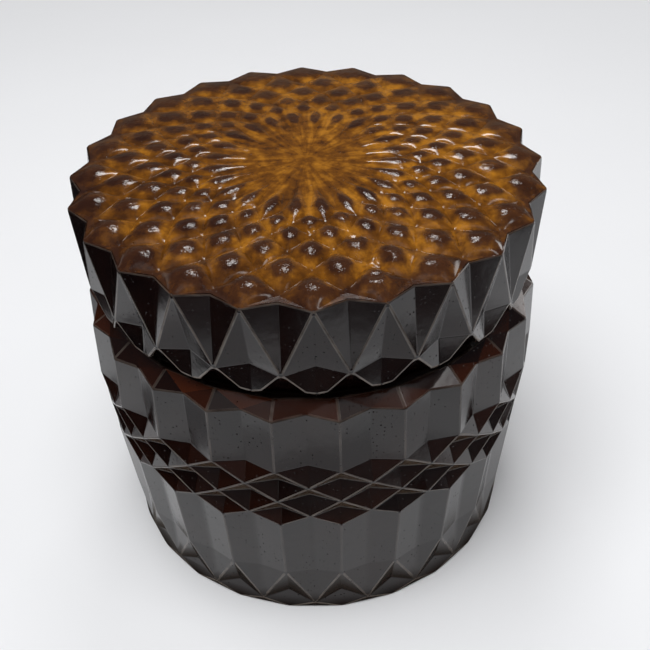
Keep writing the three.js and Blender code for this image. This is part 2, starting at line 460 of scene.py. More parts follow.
    def build(self, repeater: bpy.types.NodeTree) -> bpy.types.Object:
        """Makes the finished casting and ties it to the part's frame.

        Args:
            repeater: The tree that column_repeater makes.

        Returns:
            The finished object.
        """
        obj = self.repeated(repeater)
        self.soften(obj)
        obj.data.transform(self.placed())
        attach(obj, self.body)
        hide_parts(self.node)
        obj.data.calc_loop_triangles()
        LOG.info("%s: %d triangles", obj.name, len(obj.data.loop_triangles))
        return obj


@dataclass
class JarCasting(Casting):
    """The jar: a faceted wall with a net of sunk pyramids, and a plain round well."""

    girdle_height: float = 45.9
    girdle_radius: float = 47.3
    flank_draft: float = 0.085
    net_row: float = 4.4
    net_hem: float = 3.4
    pyramid_depth: float = 2.4
    rim_height: float = 60.6
    rim_radius: float = 42.95
    shoulder_ridge: tuple[float, float] = (46.75, 58.3)
    shoulder_crease: tuple[float, float] = (45.0, 58.95)
    crease_top: tuple[float, float] = (44.4, 31.6)
    crease_foot: tuple[float, float] = (43.4, 13.0)
    foot_peak_height: float = 12.8
    foot_tip_height: float = 1.8
    foot_sunk: tuple[float, float] = (42.5, 4.8)
    base_radius: float = 43.4
    band_crease_softness: float = 0.8
    band_crease_from: float = 8.0
    mouth_radius: float = 37.5
    mouth_chamfer: float = 0.8
    well_floor: tuple[float, float] = (36.2, 8.0)
    well_fillet: float = 5.0
    fillet_steps: int = 8
    round_steps: int = 6

    def flank(self, height: float, stand: Stand) -> Ring:
        """A ring of corners on the jar's flank at a height."""
        return ring(self.girdle_radius - self.flank_draft * (self.girdle_height - height), height, stand)

    def sunk_pyramid(self, mesh: ColumnMesh, top: Vector, right: Vector, bottom: Vector,
                     left: Vector) -> None:
        """Adds one mesh of the net: four raised corners and a point sunk between them.

        Args:
            mesh: The column that gets the faces.
            top: The mesh's top corner.
            right: Its right corner.
            bottom: Its bottom corner.
            left: Its left corner.
        """
        point = (left + right) / 2
        inward = (math.hypot(left.x, left.y) - self.pyramid_depth) / math.hypot(point.x, point.y)
        point = Vector((point.x * inward, point.y * inward, point.z))
        mesh.face(Cut.NET, left, point, top)
        mesh.face(Cut.NET, point, right, top)
        mesh.face(Cut.NET, left, bottom, point)
        mesh.face(Cut.NET, bottom, right, point)

    def softness(self, first: int, second: int, angle: float, hollow: bool) -> float:
        """How widely an edge is rounded; the creases of the lower band are the softest."""
        soft = first == second == Cut.LOWER_BAND and hollow and angle > math.radians(self.band_crease_from)
        return self.band_crease_softness if soft else super().softness(first, second, angle, hollow)

    def well_profile(self) -> list[tuple[float, float]]:
        """Gives the well's outline from its floor up to the mouth's rim.

        Returns:
            The radius and the height of each point.
        """
        radius, height = self.well_floor
        profile = []
        for i in range(self.fillet_steps + 1):
            angle = math.pi / 2 * i / self.fillet_steps
            profile.append((radius - self.well_fillet * (1 - math.sin(angle)),
                            height + self.well_fillet * (1 - math.cos(angle))))
        profile.append((self.mouth_radius, self.rim_height - self.mouth_chamfer))
        profile.append((self.mouth_radius + self.mouth_chamfer, self.rim_height))
        return profile

    def well(self, mesh: ColumnMesh) -> list[Vector]:
        """Adds one column's share of the well.

        Args:
            mesh: The column that gets the faces.

        Returns:
            The points of the mouth's rim, anticlockwise.
        """
        rows = [arc(radius, height, self.round_steps) for radius, height in self.well_profile()]
        middle = Vector((0, 0, self.well_floor[1]))
        for i in range(self.round_steps):
            mesh.face(Cut.WELL, middle, rows[0][i], rows[0][i + 1])
            for lower, upper in zip(rows, rows[1:]):
                mesh.face(Cut.WELL, lower[i + 1], lower[i], upper[i], upper[i + 1])
        return rows[-1]

    def column(self) -> ColumnMesh:
        """Makes the faces of one column of the jar.

        Returns:
            The column.
        """
        mesh = ColumnMesh()
        rim = ring(self.rim_radius, self.rim_height, Stand.ON_RIDGE)
        ridge = ring(*self.shoulder_ridge, Stand.ON_RIDGE)
        crease = ring(*self.shoulder_crease, Stand.IN_CREASE)
        girdle, net1, net2, net3 = (self.flank(self.girdle_height - row * self.net_row, stand)
                                    for row, stand in enumerate((Stand.ON_RIDGE, Stand.IN_CREASE) * 2))
        girdle_crease = ring(self.shoulder_crease[0], self.girdle_height, Stand.IN_CREASE)
        hem = self.flank(self.girdle_height - 3 * self.net_row - self.net_hem, Stand.ON_RIDGE)
        peak = self.flank(self.foot_peak_height, Stand.ON_RIDGE)
        crease_top = ring(*self.crease_top, Stand.IN_CREASE)
        crease_foot = ring(*self.crease_foot, Stand.IN_CREASE)
        tip = self.flank(self.foot_tip_height, Stand.IN_CREASE)
        sunk = ring(*self.foot_sunk, Stand.ON_RIDGE)
        base = ring(self.base_radius, 0, Stand.ON_RIDGE)

        mouth = self.well(mesh)
        mesh.face(Cut.RIM, rim(0), rim(1), *reversed(mouth))
        mesh.face(Cut.SHOULDER, crease(0), rim(1), rim(0))
        mesh.face(Cut.SHOULDER, ridge(0), crease(0), rim(0))
        mesh.face(Cut.SHOULDER, crease(0), ridge(1), rim(1))
        mesh.face(Cut.UPPER_BAND, girdle(0), girdle_crease(0), crease(0), ridge(0))
        mesh.face(Cut.UPPER_BAND, girdle_crease(0), girdle(1), ridge(1), crease(0))
        mesh.face(Cut.NET, girdle(0), net1(0), girdle_crease(0))
        mesh.face(Cut.NET, net1(0), girdle(1), girdle_crease(0))
        self.sunk_pyramid(mesh, girdle(0), net1(0), net2(0), net1(-1))
        self.sunk_pyramid(mesh, net1(0), net2(1), net3(0), net2(0))
        self.sunk_pyramid(mesh, net2(0), net3(0), hem(0), net3(-1))
        mesh.face(Cut.NET, hem(0), crease_top(0), net3(0))
        mesh.face(Cut.NET, crease_top(0), hem(1), net3(0))
        mesh.face(Cut.LOWER_BAND, peak(0), crease_foot(0), crease_top(0), hem(0))
        mesh.face(Cut.LOWER_BAND, crease_foot(0), peak(1), hem(1), crease_top(0))
        mesh.face(Cut.LOWER_BAND, peak(0), tip(0), crease_foot(0))
        mesh.face(Cut.LOWER_BAND, tip(0), peak(1), crease_foot(0))
        mesh.face(Cut.FOOT, tip(-1), sunk(0), peak(0))
        mesh.face(Cut.FOOT, sunk(0), tip(0), peak(0))
        mesh.face(Cut.FOOT, tip(-1), tip(0), sunk(0))
        mesh.face(Cut.FOOT, tip(-1), base(0), tip(0))
        mesh.face(Cut.FOOT, base(0), base(1), tip(0))
        mesh.face(Cut.BASE, Vector((0, 0, 0)), base(1), base(0))
        return mesh


@dataclass
class LidCasting(Casting):
    """The lid: a tall faceted skirt, a plug that drops into the mouth, and a sunburst of domes on top."""

    seat_height: float = 60.9
    turn: float = -4.7
    top_height: float = 22.2
    tip_radius: float = 46.65
    valley_radius: float = 44.1
    flare: tuple[float, float] = (46.0, 7.7)
    dimple: tuple[float, float] = (43.8, 8.4)
    point: tuple[float, float] = (44.4, 2.1)
    point_side: tuple[float, float] = (45.0, 3.0)
    point_spread: float = 0.18
    seat_radius: float = 41.0
    plug_radius: float = 36.7
    plug_depth: float = 5.0
    plug_chamfer: float = 0.8
    crown: float = 1.7
    dome_rings: int = 5
    net_radius: float = 42.3
    net_ratio: float = 1.172
    petal_tip_radius: float = 10.8
    dome_rise: float = 0.15
    dome_fullness: float = 0.8
    dome_steps: int = 16
    dome_unevenness: float = 0.1
    flatter_behind: float = 0.6
    flatter_from_to: tuple[float, float] = (-14.0, 20.0)
    ripple_scales: tuple[float, float] = (0.42, 0.9)
    crater_floor: float = 0.35
    amber_ends: tuple[float, float] = (0.35, 0.85)
    rim_darkens: tuple[float, float] = (37.5, 43.0)
    rim_darkness: float = 0.85
    disc_rows: tuple[float, ...] = (0.75, 0.5, 0.25)
    craters: tuple[tuple[float, float, float, float], ...] = (
        (29.4, 285.0, 1.5, 0.5), (36.4, 289.2, 1.9, 0.6), (40.7, 284.8, 1.7, 0.5),
        (24.6, 271.0, 0.9, 0.3), (33.0, 262.0, 0.8, 0.3), (38.4, 305.0, 0.9, 0.3))
    round_steps: int = 6
    lip_softness: float = 0.5

    def softness(self, first: int, second: int, angle: float, hollow: bool) -> float:
        """How widely an edge is rounded; the lip under the zigzag is a soft one."""
        lip = {first, second} == {Cut.ZIGZAG, Cut.SEAT}
        return self.lip_softness if lip else super().softness(first, second, angle, hollow)

    def make_uneven(self, mesh: bpy.types.Mesh) -> None:
        """Makes the domes uneven and flatter at the back, with craters where bubbles broke.

        Args:
            mesh: The lid with sharp edges, in metres.
        """
        super().make_uneven(mesh)
        dome = mesh.attributes["dome"].data
        middles = [(r * math.cos(math.radians(a)), r * math.sin(math.radians(a)), size, depth)
                   for r, a, size, depth in self.craters]
        for vertex in mesh.vertices:
            share = dome[vertex.index].value
            if share > 0:
                place = vertex.co / MM
                coarse, fine = self.ripple_scales
                ripple = noise.noise(place * coarse) + 0.5 * noise.noise(place * fine)
                drop = self.dome_unevenness * (0.7 + 0.5 * ripple) * min(1.0, 2 * share)
                rise = self.dome_rise * math.hypot(place.x, place.y) * STEP * share ** self.dome_fullness
                drop += self.flatter_behind * smoothstep(*self.flatter_from_to, place.y) * rise
                for x, y, size, depth in middles:
                    away = math.hypot(place.x - x, place.y - y) / size
                    drop += depth * (1 - smoothstep(self.crater_floor, 1.0, away))
                vertex.co.z -= max(0.0, drop) * MM

    def placed(self) -> Matrix:
        """Where the lid stands on the jar."""
        up = Matrix.Translation((0, 0, self.seat_height * MM))
        return up @ Matrix.Rotation(math.radians(self.turn), 4, "Z")

    def crown_height(self, radius: float) -> float:
        """How high the swelling top is at a distance from the axis."""
        return self.top_height + self.crown * (1 - (radius / self.valley_radius) ** 2)

    def rim_tip(self) -> Ring:
        """The rim's corners on the ridges."""
        return ring(self.tip_radius, self.top_height, Stand.ON_RIDGE)

    def rim_valley(self) -> Ring:
        """The rim's corners in the creases."""
        return ring(self.valley_radius, self.top_height, Stand.IN_CREASE)

    def net_ring(self, row: int) -> Ring:
        """The ring of net corners of one row, counted from the petals outwards."""
        radius = self.net_radius * self.net_ratio ** (row - self.dome_rings)
        return ring(radius, self.crown_height(radius), Stand.IN_CREASE if row % 2 else Stand.ON_RIDGE)

    def clearness(self, radius: float, share: float) -> float:
        """How clear the resin of the lid's top is.

        Args:
            radius: Distance from the axis.
            share: 0 on the net's lines, 1 at the middle of a dome.

        Returns:
            1 where it is clear amber, 0 where it is as dark as the rest.
        """
        net = 1 - smoothstep(*self.amber_ends, share)
        return net * (1 - self.rim_darkness * smoothstep(*self.rim_darkens, radius))

    def dome(self, mesh: ColumnMesh, inner: Vector, right: Vector, outer: Vector, left: Vector) -> None:
        """Adds one dome over a mesh of the net.

        Args:
            mesh: The column that gets the faces.
            inner: The mesh's corner nearest the axis.
            right: Its right corner as seen from the axis.
            outer: Its corner furthest from the axis.
            left: Its left corner.
        """
        rise = self.dome_rise * (right - left).length
        grid: list[list[Vector]] = []
        for i in range(self.dome_steps + 1):
            u = i / self.dome_steps
            row = []
            for j in range(self.dome_steps + 1):
                v = j / self.dome_steps
                place = inner.lerp(right, u).lerp(left.lerp(outer, u), v)
                share = 16 * u * (1 - u) * v * (1 - v)
                place.z += rise * share ** self.dome_fullness
                mesh.corner(place, self.clearness(math.hypot(place.x, place.y), share), share)
                row.append(place)
            grid.append(row)
        for i in range(self.dome_steps):
            for j in range(self.dome_steps):
                mesh.face(Cut.SUNBURST, grid[i][j], grid[i + 1][j], grid[i + 1][j + 1], grid[i][j + 1])

    def edge(self, start: Vector, end: Vector) -> list[Vector]:
        """The points of a straight edge, split as finely as the domes beside it."""
        return [start.lerp(end, i / self.dome_steps) for i in range(self.dome_steps + 1)]

    def disc(self, mesh: ColumnMesh, start: Vector, end: Vector) -> None:
        """Adds a wedge of the plain disc, in rows that close in on the axis.

        Args:
            mesh: The column that gets the faces.
            start: The wedge's first outer corner.
            end: Its second outer corner.
        """
        middle = Vector((0, 0, self.crown_height(0)))
        rows = [self.edge(start, end)]
        for share in self.disc_rows:
            row = [middle.lerp(point, share) for point in rows[0]]
            rows.append([Vector((p.x, p.y, self.crown_height(math.hypot(p.x, p.y)))) for p in row])
        for outer, inner in zip(rows, rows[1:]):
            for i in range(self.dome_steps):
                mesh.face(Cut.SUNBURST, inner[i], outer[i], outer[i + 1], inner[i + 1], amber=1.0)
        for i in range(self.dome_steps):
            mesh.face(Cut.SUNBURST, middle, rows[-1][i], rows[-1][i + 1], amber=1.0)

    def top(self, mesh: ColumnMesh) -> None:
        """Adds one column of the sunburst: a share of the disc, a petal and a dome of each ring.

        Args:
            mesh: The column that gets the faces.
        """
        petal_tip = ring(self.petal_tip_radius, self.crown_height(self.petal_tip_radius), Stand.IN_CREASE)
        net = [self.net_ring(row) for row in range(self.dome_rings + 1)] + [self.rim_tip()]
        valley = self.rim_valley()(0)
        self.dome(mesh, petal_tip(0), net[0](0), net[1](0), net[0](1))
        for row in range(1, self.dome_rings + 1):
            odd = row % 2 == 1
            right, left = (net[row](-1), net[row](0)) if odd else (net[row](0), net[row](1))
            self.dome(mesh, net[row - 1](0), right, net[row + 1](0), left)
        self.disc(mesh, net[0](0), petal_tip(0))
        self.disc(mesh, petal_tip(0), net[0](1))
        last = net[self.dome_rings](0)
        for start, end in ((last, self.rim_tip()(0)), (self.rim_tip()(1), last)):
            edge = self.edge(start, end)
            for first, second in zip(edge, edge[1:]):
                mesh.face(Cut.SUNBURST, valley, first, second)

    def under(self, mesh: ColumnMesh) -> None:
        """Adds one column of the seat and of the plug under it.

        Args:
            mesh: The column that gets the faces.
        """
        rows = [
            arc(self.plug_radius, 0, self.round_steps),
            arc(self.plug_radius, self.plug_chamfer - self.plug_depth, self.round_steps),
            arc(self.plug_radius - self.plug_chamfer, -self.plug_depth, self.round_steps),
        ]
        seat = ring(self.seat_radius, 0, Stand.ON_RIDGE)
        mesh.face(Cut.SEAT, seat(1), seat(0), *rows[0])
        middle = Vector((0, 0, -self.plug_depth))
        for i in range(self.round_steps):
            for upper, lower in zip(rows, rows[1:]):
                mesh.face(Cut.PLUG, lower[i], lower[i + 1], upper[i + 1], upper[i])
            mesh.face(Cut.PLUG, middle, rows[-1][i + 1], rows[-1][i])

    def column(self) -> ColumnMesh:
        """Makes the faces of one column of the lid.

        Returns:
            The column.
        """
        mesh = ColumnMesh()
        tip = self.rim_tip()
        valley = self.rim_valley()
        flare = ring(*self.flare, Stand.IN_CREASE)
        dimple = ring(*self.dimple, Stand.ON_RIDGE)
        point = ring(*self.point, Stand.ON_RIDGE)
        right = ring(*self.point_side, Stand.ON_RIDGE, self.point_spread)
        left = ring(*self.point_side, Stand.ON_RIDGE, -self.point_spread)
        seat = ring(self.seat_radius, 0, Stand.ON_RIDGE)
        self.top(mesh)
        mesh.face(Cut.TALL_TRIANGLE, flare(0), valley(0), tip(0))
        mesh.face(Cut.TALL_TRIANGLE, flare(0), tip(1), valley(0))
        mesh.face(Cut.DIMPLE, dimple(0), flare(0), tip(0))
        mesh.face(Cut.DIMPLE, flare(0), dimple(1), tip(1))
        mesh.face(Cut.ZIGZAG, dimple(0), point(0), right(0), flare(0))
        mesh.face(Cut.ZIGZAG, dimple(1), flare(0), left(1), point(1))
        mesh.face(Cut.SEAT, seat(0), right(0), point(0))
        mesh.face(Cut.SEAT, seat(0), flare(0), right(0))
        mesh.face(Cut.SEAT, flare(0), seat(0), seat(1))
        mesh.face(Cut.SEAT, seat(1), left(1), flare(0))
        mesh.face(Cut.SEAT, seat(1), point(1), left(1))
        self.under(mesh)
        return mesh


def new_material(name: str) -> tuple[bpy.types.Material, Adder]:
    """Makes a material without nodes.

    Args:
        name: The material's name.

    Returns:
        The material, and the function that adds a node to it.
    """
    made = bpy.data.materials.new(name)
    made.use_nodes = True
    made.node_tree.nodes.clear()
    return made, partial(add_node, made.node_tree)


@dataclass(frozen=True)
class CastEpoxy:
    """Epoxy resin cast in a silicone mould and left as it came out: a hard wet gloss over a dark red-brown
    depth that light hardly gets through, with faint waves from the mould and a few pits from bubbles.
    A scale counts the patches to a millimetre."""

    name: str = "cast_epoxy_dark_amber"
    deep: str = "0a0303"
    cloudy: str = "170a07"
    # Painted glow on facets that face up, without and with full glow.
    painted_top_light: str = "120604"
    painted_glow: str = "3e1a08"
    # Painted reflection of the bright ground, on the net's overhanging faces.
    painted_ground_reflection: str = "4c3e31"
    # A lighter colour for the rounded ridges.
    lighter_ridges: str = "6a625b"
    cloud_size: float = 14.0
    wave_size: float = 3.5
    wave_depth: float = 0.12
    pit_spacing: float = 0.7
    pit_size: float = 0.27
    pit_depth: float = 0.2
    pit_patch_scale: float = 0.09
    ridge_patch_size: float = 4.0
    polish_scale: float = 0.12
    roughness: float = 0.13
    ior: float = 1.54

    def coordinates(self, add: Adder) -> Source:
        """Object coordinates in millimetres."""
        return add("VectorMath", {0: add("TexCoord").outputs["Object"], "Scale": 1 / MM}, operation="SCALE")

    def colour(self, add: Adder, at: Source) -> Source:
        """The resin's colour: clouded, with a painted glow that warms facets facing up as if light came in
        from above, and a painted reflection of the bright ground on the net's overhanging faces.

        Args:
            add: Adds a node to the material.
            at: Coordinates in millimetres.

        Returns:
            The colour.
        """
        cloud = add("TexNoise", {"Vector": at, "Scale": 1 / self.cloud_size, "Detail": 3.0})
        ramp = add("MapRange", {"Value": cloud, "From Min": 0.35, "From Max": 0.7})
        mixed = add("Mix", {"Factor": ramp, "A": srgb(self.deep), "B": srgb(self.cloudy)}, data_type="RGBA")
        painted_light = add("Attribute", attribute_name="painted_light").outputs["Fac"]
        # Painted glow: facets that face up get warmer colours, as if light came in from above.
        painted_glow_colour = add("Mix", {"Factor": painted_light, "A": srgb(self.painted_top_light), "B": srgb(self.painted_glow)}, data_type="RGBA")
        rise = add("SeparateXYZ", {0: add("NewGeometry").outputs["Normal"]}).outputs["Z"]
        upward = add("MapRange", {"Value": rise, "From Min": 0.1, "From Max": 0.5})
        upper = add("Mix", {"Factor": upward, "A": mixed, "B": painted_glow_colour}, data_type="RGBA")
        # Painted reflection: the net's downward faces are made paler, as if they mirrored the bright
        # ground.
        downward = add("MapRange", {"Value": rise, "From Min": -0.1, "From Max": -0.4})
        under = add("Math", {0: downward, 1: painted_light}, operation="MULTIPLY", use_clamp=True)
        return add("Mix", {"Factor": under, "A": upper, "B": srgb(self.painted_ground_reflection)}, data_type="RGBA")

    def lighten_ridges(self, add: Adder, at: Source, colour: Source) -> Source:
        """Lightens the rounded ridges, in patches.

        Args:
            add: Adds a node to the material.
            at: Coordinates in millimetres.
            colour: The resin's own colour.

        Returns:
            The colour with its lighter ridges.
        """
        patchy = add("TexNoise", {"Vector": at, "Scale": 1 / self.ridge_patch_size, "Detail": 3.0})
        share = add("MapRange", {"Value": patchy, "From Min": 0.35, "From Max": 0.65, "To Min": 0.35})
        ridge_lightness = add("Attribute", attribute_name="ridge_lightness").outputs["Fac"]
        strength = add("Math", {0: share, 1: ridge_lightness}, operation="MULTIPLY")
        return add("Mix", {"Factor": strength, "A": colour, "B": srgb(self.lighter_ridges)}, data_type="RGBA")

    def relief(self, add: Adder, at: Source) -> Source:
        """Faint waves of the mould's surface and the pits of small bubbles, as a changed normal.

        Args:
            add: Adds a node to the material.
            at: Coordinates in millimetres.

        Returns:
            The normal.
        """
        wave = add("TexNoise", {"Vector": at, "Scale": 1 / self.wave_size, "Detail": 2.0})
        bump = add("Bump", {"Height": wave, "Strength": 0.25, "Distance": self.wave_depth * MM})
        cell = add("TexVoronoi", {"Vector": at, "Scale": 1 / self.pit_spacing, "Randomness": 1.0}).outputs
        chance = add("SeparateColor", {0: cell["Color"]})
        wide = add("MapRange", {"Value": chance, "From Min": 0.35, "To Min": 0.0001,
                                "To Max": self.pit_size})
        pit = add("MapRange", {"Value": cell["Distance"], "From Max": wide})
        where = add("TexNoise", {"Vector": at, "Scale": self.pit_patch_scale, "Detail": 1.0})
        many = add("MapRange", {"Value": where, "From Min": 0.38, "From Max": 0.55})
        painted_light = add("Attribute", attribute_name="painted_light").outputs["Fac"]
        strength = add("Math", {0: many, 1: painted_light}, operation="ADD", use_clamp=True)
        return add("Bump", {"Height": pit, "Strength": strength, "Distance": self.pit_depth * MM,
                            "Normal": bump})

    def gloss(self, add: Adder, at: Source) -> Source:
        """The roughness, which drifts as a mould's polish does."""
        sheen = add("TexNoise", {"Vector": at, "Scale": self.polish_scale, "Detail": 4.0})
        return add("MapRange", {"Value": sheen, "To Min": self.roughness * 0.7,
                                "To Max": self.roughness * 1.4})

    def material(self) -> bpy.types.Material:
        """Makes the material.

        Returns:
            The finished material.
        """
        made, add = new_material(self.name)
        at = self.coordinates(add)
        shader = add("BsdfPrincipled", {
            "Base Color": self.lighten_ridges(add, at, self.colour(add, at)),
            "Roughness": self.gloss(add, at), "IOR": self.ior, "Normal": self.relief(add, at)})
        add("OutputMaterial", {"Surface": shader})
        return made


@dataclass(frozen=True)
class AmberTopEpoxy(CastEpoxy):
    """The same resin in the lid, whose top shows clear amber along the net and in the middle,
    streaked outwards from the axis, and dark brown in the domes."""

    name: str = "cast_epoxy_amber_top"
    amber_deep: str = "452607"
    amber: str = "6c410d"
    amber_light: str = "a0691b"
    dome_deep: str = "2a150c"
    dome: str = "482a15"
    net_roughness: float = 0.15
    ripple_size: float = 1.4
    ripple_depth: float = 0.5
    streaks_round: float = 9.0
    streaks_outward: float = 0.09
    streaks_from: float = 15.0
    mottle_scale: float = 0.3
    amber_level: float = 0.55
    amber_contrast: float = 1.3
    # Painted light: how much lighter the top gets per millimetre towards the right.
    painted_light_to_right: float = 0.002

    def relief(self, add: Adder, at: Source) -> Source:
        """The same skin, with a ripple on the domes that breaks up their glints.

        Args:
            add: Adds a node to the material.
            at: Coordinates in millimetres.

        Returns:
            The normal.
        """
        dome = add("Attribute", attribute_name="dome").outputs["Fac"]
        ripple = add("TexNoise", {"Vector": at, "Scale": 1 / self.ripple_size, "Detail": 3.0,
                                  "Roughness": 0.6})
        high = add("MapRange", {"Value": dome, "From Min": 0.4, "From Max": 0.8, "To Max": 0.4})
        return add("Bump", {"Height": ripple, "Strength": high, "Distance": self.ripple_depth * MM,
                            "Normal": super().relief(add, at)})

    def gloss(self, add: Adder, at: Source) -> Source:
        """The skirt and the domes are glossy, and the net between the domes a little less so.

        Args:
            add: Adds a node to the material.
            at: Coordinates in millimetres.

        Returns:
            The roughness.
        """
        glossy = super().gloss(add, at)
        dome = add("Attribute", attribute_name="dome").outputs["Fac"]
        up = add("MapRange", {"Value": dome, "From Min": 0.05, "From Max": 0.5})
        top = add("Mix", {0: up, 2: self.net_roughness, 3: glossy})
        return add("Mix", {0: self.on_top(add), 2: glossy, 3: top})

    def on_top(self, add: Adder) -> Source:
        """1 on the faces of the sunburst and 0 on all others."""
        cut = add("Attribute", attribute_name="cut").outputs["Fac"]
        return add("Math", {0: cut, 1: Cut.SUNBURST - 0.5}, operation="GREATER_THAN")

    def streaks(self, add: Adder, at: Source) -> Source:
        """Fibrous streaks that run outwards from the axis and fade towards it, around 0.

        Args:
            add: Adds a node to the material.
            at: Coordinates in millimetres.

        Returns:
            A value around 0.
        """
        flat = add("VectorMath", {0: at, 1: (1, 1, 0)}, operation="MULTIPLY")
        radius = add("VectorMath", {0: flat}, operation="LENGTH")
        parts = add("SeparateXYZ", {0: at}).outputs
        angle = add("Math", {0: parts["Y"], 1: parts["X"]}, operation="ARCTAN2")
        spoke = add("Math", {0: angle, 1: self.streaks_round}, operation="MULTIPLY")
        along = add("Math", {0: radius, 1: self.streaks_outward}, operation="MULTIPLY")
        polar = add("CombineXYZ", {"X": spoke, "Y": along})
        streak = add("TexNoise", {"Vector": polar, "Scale": 1.0, "Detail": 5.0})
        fan = add("MapRange", {"Value": radius, "From Max": self.streaks_from, "To Min": 0.15})
        return add("Math", {0: add("Math", {0: streak, 1: 0.5}, operation="SUBTRACT"), 1: fan},
                   operation="MULTIPLY")

    def colour(self, add: Adder, at: Source) -> Source:
        """Dark resin below, amber and brown on the top, with painted light: lighter to the right, darker to
        the left.

        Args:
            add: Adds a node to the material.
            at: Coordinates in millimetres.

        Returns:
            The colour.
        """
        mottle = add("TexNoise", {"Vector": at, "Scale": self.mottle_scale, "Detail": 5.0,
                                  "Roughness": 0.65})
        noisy = add("Math", {0: self.streaks(add, at), 1: mottle}, operation="ADD")
        # Painted light: the top's colour grows lighter towards the right and darker towards the left.
        across = add("SeparateXYZ", {0: at}).outputs["X"]
        both = add("Math", {0: across, 1: self.painted_light_to_right, 2: noisy}, operation="MULTIPLY_ADD")
        depth = add("MapRange", {"Value": both, "From Min": 0.25, "From Max": 0.75})
        ramp = add("ValToRGB", {"Fac": depth})
        ramp.color_ramp.elements[0].color = srgb(self.amber_deep)
        ramp.color_ramp.elements[1].color = srgb(self.amber_light)
        ramp.color_ramp.elements.new(0.5).color = srgb(self.amber)
        dome = add("Mix", {"Factor": depth, "A": srgb(self.dome_deep), "B": srgb(self.dome)},
                   data_type="RGBA")
        mask = self.on_top(add)
        lower = add("Mix", {"Factor": mask, "A": super().colour(add, at), "B": dome}, data_type="RGBA")
        amber = add("Attribute", attribute_name="amber").outputs["Fac"]
        fuzzy = add("Math", {0: mottle, 1: self.amber_level}, operation="SUBTRACT")
        clear = add("Math", {0: fuzzy, 1: self.amber_contrast, 2: amber}, operation="MULTIPLY_ADD")
        within = add("Math", {0: clear, 1: mask}, operation="MULTIPLY", use_clamp=True)
        return add("Mix", {"Factor": within, "A": lower, "B": ramp.outputs["Color"]}, data_type="RGBA")


@dataclass(frozen=True)
class MattBoard:
    """White matt board: an even pale ground that keeps the jar's shadow soft and stays pale far away."""

    name: str = "matt_white_board"
    tint: str = "e9eaec"
    grain_size: float = 60.0
    pale_from: float = 280.0
    pale_beyond: float = 800.0
    paleness: float = 0.95

    def material(self) -> bpy.types.Material:
        """Makes the material.

        Returns:
            The finished material.
        """
        made, add = new_material(self.name)
        place = add("TexCoord").outputs["Object"]
        grain = add("TexNoise", {"Vector": place, "Scale": 1 / (self.grain_size * MM), "Detail": 2.0})
        shade = add("MapRange", {"Value": grain, "To Min": 0.97, "To Max": 1.0})
        colour = add("VectorMath", {0: srgb(self.tint)[:3], "Scale": shade}, operation="SCALE")
        board = add("BsdfPrincipled", {"Base Color": colour, "Roughness": 0.9, "Specular IOR Level": 0.1})
        away = add("VectorMath", {0: place}, operation="LENGTH")
        far = add("MapRange", {"Value": away, "From Min": self.pale_from * MM,
                               "From Max": self.pale_beyond * MM})
        ray = add("LightPath").outputs
        seen = add("Math", {0: ray["Is Camera Ray"], 1: ray["Is Glossy Ray"]}, operation="MAXIMUM")
        share = add("Math", {0: far, 1: seen}, operation="MULTIPLY")
        pale = add("Emission", {"Color": colour, "Strength": self.paleness})
        add("OutputMaterial", {"Surface": add("MixShader", {0: share, 1: board, 2: pale})})
        return made


@dataclass(frozen=True)
class DarkCard:
    """Black or grey card, which a glossy thing needs near it for its dark facets."""

    name: str = "dark_card"
    tint: str = "1a1a1c"

    def colour(self, add: Adder) -> Any:
        """The card's colour, all over the same."""
        return srgb(self.tint)

    def material(self) -> bpy.types.Material:
        """Makes the material.

        Returns:
            The finished material.
        """
        made, add = new_material(self.name)
        card = add("BsdfPrincipled", {"Base Color": self.colour(add), "Roughness": 0.9})
        add("OutputMaterial", {"Surface": card})
        return made


@dataclass(frozen=True)
class FadingCard(DarkCard):
    """Grey card that fades out to the floor's white, like the shade round a thing that stands on it."""

    tint: str = "625c55"
    outside: str = "e9eaec"
    fade: tuple[float, float] = (44.0, 47.5)

    def colour(self, add: Adder) -> Any:
        """Grey in the middle, white from the edge of the shade on.

        Args:
            add: Adds a node to the material.

        Returns:
            The colour.
        """
        away = add("VectorMath", {0: add("TexCoord").outputs["Object"]}, operation="LENGTH")
        share = add("MapRange", {"Value": away, "From Min": self.fade[0] * MM,
                                 "From Max": self.fade[1] * MM})
        return add("Mix", {"Factor": share, "A": srgb(self.tint), "B": srgb(self.outside)},
                   data_type="RGBA")


@dataclass(frozen=True)
class SoftLamp:
    """A soft box that looks at the jar from one direction; its distance and size are metres."""

    name: str
    bearing: float
    elevation: float
    distance: float
    width: float
    height: float
    radiance: float
    mirrored: bool = True


@dataclass(frozen=True)
class Card:
    """A strip of card between two arcs round the jar, each given as radius and height in millimetres."""

    name: str
    start: float
    end: float
    near: tuple[float, float]
    far: tuple[float, float]
    tint: str


